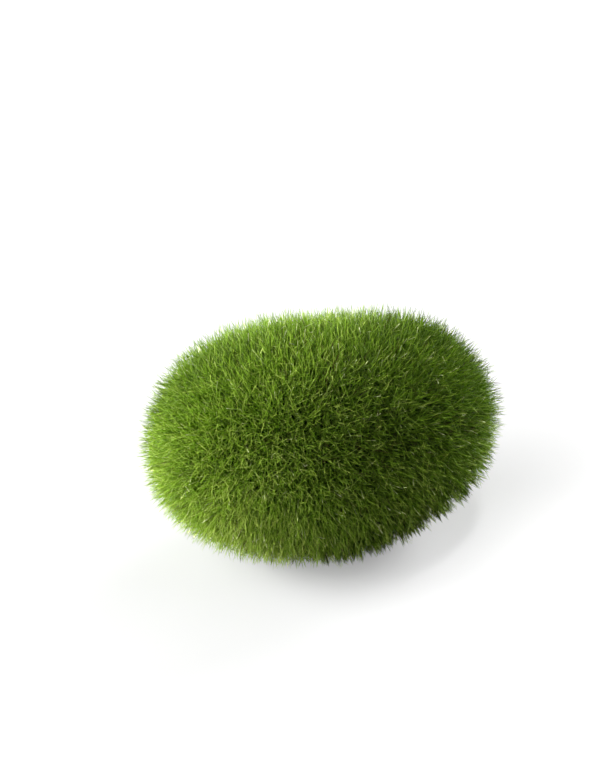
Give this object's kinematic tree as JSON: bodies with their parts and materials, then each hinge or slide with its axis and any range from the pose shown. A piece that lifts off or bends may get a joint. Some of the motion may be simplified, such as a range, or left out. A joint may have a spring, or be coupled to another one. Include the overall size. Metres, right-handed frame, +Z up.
{
  "type": "marimo moss ball",
  "caption": "Oblong pebble-shaped ball of fine green algae moss, covered all over in short pointed tufts and pressed flat where it rests.",
  "frame": {"origin": "centre of the flat resting spot's plane under the ball, at the bottom centre of the overall box", "axes": "+X along the ball's length, towards its far end as pictured; +Y across it, away from the viewer; +Z up from the resting spot"},
  "size_m": [0.0936, 0.063, 0.061],
  "materials": {
    "moss": "matte"
  },
  "bodies": {
    "root": {"moss_ball": "moss"}
  },
  "joints": []
}
